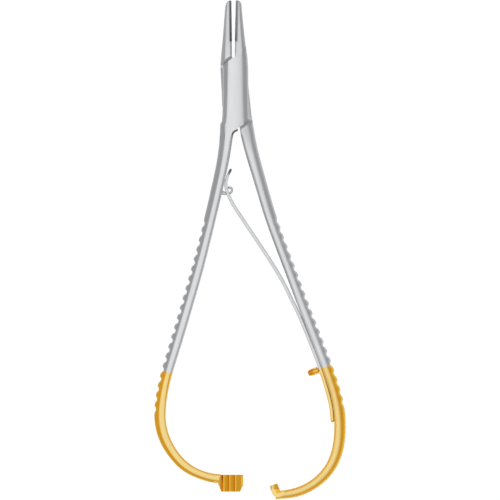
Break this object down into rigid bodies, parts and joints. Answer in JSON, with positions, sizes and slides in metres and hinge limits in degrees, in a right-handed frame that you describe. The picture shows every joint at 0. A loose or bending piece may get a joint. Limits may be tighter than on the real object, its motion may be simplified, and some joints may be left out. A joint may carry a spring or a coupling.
{
  "type": "surgical needle holder",
  "caption": "Needle holder with a box lock, open bow handles with scalloped grips, gilt ends, a leaf spring with a stop stud, and a ratchet and hook.",
  "frame": {"origin": "joint axis of the box lock on the rear face of the box, which is what the instrument lies on", "axes": "+Y along the instrument towards the jaw tips, +Z out of its front face, +X to the right seen from the front"},
  "size_m": [0.0653, 0.17, 0.0065],
  "materials": {
    "instrument_steel": "satin, with the bows gilt from the stop stud down",
    "hard_metal": "dark, fine cross-hatched gripping face",
    "spring_steel": "satin, gilt at its foot",
    "gilt": "polished gold plating"
  },
  "bodies": {
    "box_half": {"box_half": "instrument_steel", "box_jaw_insert": "hard_metal", "joint_pin": "instrument_steel", "spring_keeper": "instrument_steel"},
    "tongue_half": {"tongue_half": "instrument_steel", "tongue_jaw_insert": "hard_metal", "leaf_spring": "spring_steel", "stop_stud": "gilt"}
  },
  "joints": [
    {"name": "box_lock", "type": "hinge", "parent": "box_half", "child": "tongue_half", "pos_m": [0, 0, 0], "axis": [0, 0, -1], "range_deg": [0, 2.7], "stiffness_Nm_per_rad": 5, "springref_deg": -2.86, "deforming": ["leaf_spring"]}
  ]
}
